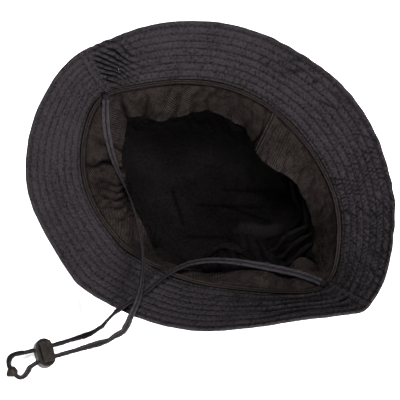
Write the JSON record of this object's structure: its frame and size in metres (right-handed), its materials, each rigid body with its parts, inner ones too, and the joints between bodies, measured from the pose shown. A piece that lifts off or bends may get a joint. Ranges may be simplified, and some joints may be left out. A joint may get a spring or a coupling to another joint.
{
  "type": "bucket hat",
  "caption": "Soft fabric bucket hat with a row-stitched sloping brim, inner sweatband and chin lace with cord lock, lying crown down.",
  "frame": {"origin": "middle of the hat's box, without the lace, on the surface that the crown tip rests on", "axes": "+Z towards the opening, +X towards the side seam on the wearer's right, +Y towards the back"},
  "size_m": [0.286, 0.3275, 0.1309],
  "materials": {
    "shell_cloth": "matte plain-weave cotton, charcoal",
    "band_cloth": "matte cotton twill, dark brown-grey",
    "lining_cloth": "thin matte cotton, near black",
    "interlining": "matte non-woven stiffener",
    "lace": "folded and stitched cotton tape",
    "thread": "spun polyester thread",
    "lock_plastic": "moulded plastic, dark, glossy",
    "spring_steel": "plain spring wire"
  },
  "bodies": {
    "hat": {"crown_tip": "shell_cloth", "crown_side_front": "shell_cloth", "crown_side_back": "shell_cloth", "lining_tip": "lining_cloth", "lining_side_front": "lining_cloth", "lining_side_back": "lining_cloth", "brim_upper_front": "shell_cloth", "brim_upper_back": "shell_cloth", "brim_interlining_front": "interlining", "brim_interlining_back": "interlining", "brim_under_front": "shell_cloth", "brim_under_back": "shell_cloth", "sweatband": "band_cloth", "sweatband_join_binding": "band_cloth", "seam_piping": "band_cloth", "lace_tack_left": "thread", "lace_tack_right": "thread", "chin_lace": "lace", "lace_bead": "lock_plastic"},
    "lock_body": {"cord_lock_body": "lock_plastic", "cord_lock_spring": "spring_steel"},
    "lock_plunger": {"cord_lock_plunger": "lock_plastic"}
  },
  "joints": [
    {"name": "lock_slide", "type": "slide", "parent": "hat", "child": "lock_body", "axis": [0.5476, 0.8368, 0], "range_m": [0, 0.016]},
    {"name": "plunger_press", "type": "slide", "parent": "lock_body", "child": "lock_plunger", "axis": [-0.1873, -0.2862, -0.9397], "range_m": [0, 0.0025], "stiffness_N_per_m": 600, "springref_m": -0.003, "deforming": ["cord_lock_spring"]}
  ]
}
